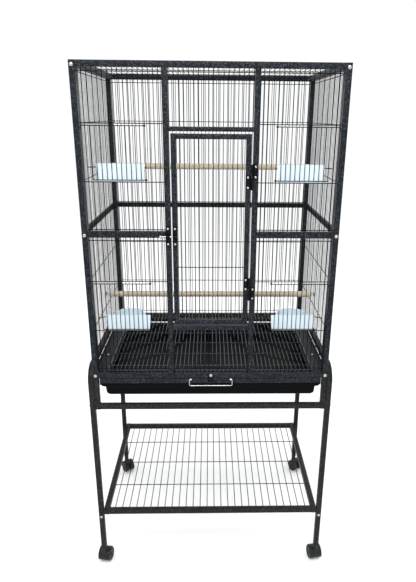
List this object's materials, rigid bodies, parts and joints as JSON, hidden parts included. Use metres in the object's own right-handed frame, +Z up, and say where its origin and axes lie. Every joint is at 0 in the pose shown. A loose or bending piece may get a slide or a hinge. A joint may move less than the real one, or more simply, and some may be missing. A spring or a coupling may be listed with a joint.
{
  "type": "bird cage on stand",
  "caption": "Tall wire bird cage with a hinged front door, feeder doors, cups, perches, a pull-out tray and a rolling stand with a wire shelf.",
  "frame": {"origin": "on the floor, under the middle of the overall box's footprint, which is the middle of the cage", "axes": "+Z up, the front with the door faces -Y, +X to the viewer's right"},
  "size_m": [0.9012, 0.6364, 1.8165],
  "materials": {
    "frame_steel": "dark charcoal hammertone powder coat",
    "stand_steel": "dark brown-grey hammertone powder coat",
    "wire_steel": "black powder coat on wire",
    "hinge_black": "black coated sheet",
    "zinc": "bright zinc plate",
    "wood": "plain turned wood, unvarnished",
    "cup_plastic": "bluish white moulded plastic",
    "tray_plastic": "black formed plastic sheet",
    "caster_plastic": "black nylon"
  },
  "bodies": {
    "cage": {"front_frame": "frame_steel", "back_panel": "frame_steel", "left_panel": "frame_steel", "right_panel": "frame_steel", "roof_panel": "frame_steel", "left_grate_ledge": "frame_steel", "right_grate_ledge": "frame_steel", "left_tray_runner": "frame_steel", "right_tray_runner": "frame_steel", "left_upper_bay_mesh": "wire_steel", "left_lower_bay_mesh": "wire_steel", "right_upper_bay_mesh": "wire_steel", "right_lower_bay_mesh": "wire_steel", "above_door_mesh": "wire_steel", "below_door_mesh": "wire_steel", "left_stand_arch": "stand_steel", "right_stand_arch": "stand_steel", "front_bridge": "stand_steel", "rear_bridge": "stand_steel", "stand_shelf": "stand_steel", "upper_perch": "wood", "upper_hinge_frame_leaf": "hinge_black", "upper_hinge_pin": "zinc", "upper_left_cup_hanger": "wire_steel", "upper_right_cup_hanger": "wire_steel", "lower_perch": "wood", "lower_hinge_frame_leaf": "hinge_black", "lower_hinge_pin": "zinc", "lower_left_cup_hanger": "wire_steel", "lower_right_cup_hanger": "wire_steel", "latch_guide": "hinge_black", "tray_lock_screw": "zinc"},
    "front_door": {"door_panel": "frame_steel", "upper_hinge_door_leaf": "hinge_black", "lower_hinge_door_leaf": "hinge_black", "latch_keeper": "hinge_black"},
    "latch_slide_bolt": {"latch_bolt": "zinc"},
    "upper_left_feeder": {"upper_left_feeder_door": "wire_steel"},
    "upper_left_cup_body": {"upper_left_cup": "cup_plastic"},
    "upper_right_feeder": {"upper_right_feeder_door": "wire_steel"},
    "upper_right_cup_body": {"upper_right_cup": "cup_plastic"},
    "lower_left_feeder": {"lower_left_feeder_door": "wire_steel"},
    "lower_left_cup_body": {"lower_left_cup": "cup_plastic"},
    "lower_right_feeder": {"lower_right_feeder_door": "wire_steel"},
    "lower_right_cup_body": {"lower_right_cup": "cup_plastic"},
    "grate": {"floor_grate": "wire_steel"},
    "tray": {"tray_pan": "tray_plastic", "tray_front_bar": "frame_steel"},
    "tray_bail": {"tray_handle": "zinc"},
    "tray_lock_plate": {"tray_lock": "hinge_black"},
    "front_left_caster": {"front_left_caster_hood": "caster_plastic"},
    "front_left_wheels": {"front_left_caster_wheels": "caster_plastic"},
    "front_right_caster": {"front_right_caster_hood": "caster_plastic"},
    "front_right_wheels": {"front_right_caster_wheels": "caster_plastic"},
    "rear_left_caster": {"rear_left_caster_hood": "caster_plastic"},
    "rear_left_wheels": {"rear_left_caster_wheels": "caster_plastic"},
    "rear_right_caster": {"rear_right_caster_hood": "caster_plastic"},
    "rear_right_wheels": {"rear_right_caster_wheels": "caster_plastic"}
  },
  "joints": [
    {"name": "front_door_swing", "type": "hinge", "parent": "cage", "child": "front_door", "pos_m": [0.12425, -0.3093, 1.314], "axis": [0, 0, 1], "range_deg": [0, 110]},
    {"name": "latch_bolt_slide", "type": "slide", "parent": "cage", "child": "latch_slide_bolt", "axis": [1, 0, 0], "range_m": [-0.004, 0.01]},
    {"name": "upper_left_feeder_door_swing", "type": "hinge", "parent": "cage", "child": "upper_left_feeder", "pos_m": [-0.19778, -0.296, 1.56075], "axis": [0, 0, 1], "range_deg": [0, 90]},
    {"name": "upper_left_cup_lift", "type": "slide", "parent": "cage", "child": "upper_left_cup_body", "axis": [0, 0, 1], "range_m": [0, 0.06]},
    {"name": "upper_right_feeder_door_swing", "type": "hinge", "parent": "cage", "child": "upper_right_feeder", "pos_m": [0.19778, -0.296, 1.56075], "axis": [0, 0, -1], "range_deg": [0, 90]},
    {"name": "upper_right_cup_lift", "type": "slide", "parent": "cage", "child": "upper_right_cup_body", "axis": [0, 0, 1], "range_m": [0, 0.06]},
    {"name": "lower_left_feeder_door_swing", "type": "hinge", "parent": "cage", "child": "lower_left_feeder", "pos_m": [-0.19778, -0.296, 1.071], "axis": [0, 0, 1], "range_deg": [0, 90]},
    {"name": "lower_left_cup_lift", "type": "slide", "parent": "cage", "child": "lower_left_cup_body", "axis": [0, 0, 1], "range_m": [0, 0.06]},
    {"name": "lower_right_feeder_door_swing", "type": "hinge", "parent": "cage", "child": "lower_right_feeder", "pos_m": [0.19778, -0.296, 1.071], "axis": [0, 0, -1], "range_deg": [0, 90]},
    {"name": "lower_right_cup_lift", "type": "slide", "parent": "cage", "child": "lower_right_cup_body", "axis": [0, 0, 1], "range_m": [0, 0.06]},
    {"name": "floor_grate_lift", "type": "slide", "parent": "cage", "child": "grate", "axis": [0, 0, 1], "range_m": [0, 0.06]},
    {"name": "tray_slide", "type": "slide", "parent": "cage", "child": "tray", "axis": [0, -1, 0], "range_m": [0, 0.5]},
    {"name": "tray_handle_swing", "type": "hinge", "parent": "tray", "child": "tray_bail", "pos_m": [0, -0.308, 0.807], "axis": [-1, 0, 0], "range_deg": [0, 100]},
    {"name": "tray_lock_turn", "type": "hinge", "parent": "cage", "child": "tray_lock_plate", "pos_m": [0, -0.3068, 0.823], "axis": [0, 1, 0], "range_deg": [-90, 90]},
    {"name": "front_left_caster_swivel", "type": "hinge", "parent": "cage", "child": "front_left_caster", "pos_m": [-0.4163, -0.2955, 0.06], "axis": [0, 0, 1], "continuous": true},
    {"name": "front_left_wheel_spin", "type": "hinge", "parent": "front_left_caster", "child": "front_left_wheels", "pos_m": [-0.41387, -0.28171, 0.025], "axis": [0.9848, -0.1736, 0], "continuous": true},
    {"name": "front_right_caster_swivel", "type": "hinge", "parent": "cage", "child": "front_right_caster", "pos_m": [0.4163, -0.2955, 0.06], "axis": [0, 0, 1], "continuous": true},
    {"name": "front_right_wheel_spin", "type": "hinge", "parent": "front_right_caster", "child": "front_right_wheels", "pos_m": [0.41387, -0.28171, 0.025], "axis": [0.9848, 0.1736, 0], "continuous": true},
    {"name": "rear_left_caster_swivel", "type": "hinge", "parent": "cage", "child": "rear_left_caster", "pos_m": [-0.4163, 0.2955, 0.06], "axis": [0, 0, 1], "continuous": true},
    {"name": "rear_left_wheel_spin", "type": "hinge", "parent": "rear_left_caster", "child": "rear_left_wheels", "pos_m": [-0.40868, 0.28376, 0.025], "axis": [-0.8387, -0.5446, 0], "continuous": true},
    {"name": "rear_right_caster_swivel", "type": "hinge", "parent": "cage", "child": "rear_right_caster", "pos_m": [0.4163, 0.2955, 0.06], "axis": [0, 0, 1], "continuous": true},
    {"name": "rear_right_wheel_spin", "type": "hinge", "parent": "rear_right_caster", "child": "rear_right_wheels", "pos_m": [0.42392, 0.28376, 0.025], "axis": [-0.8387, -0.5446, 0], "continuous": true}
  ]
}
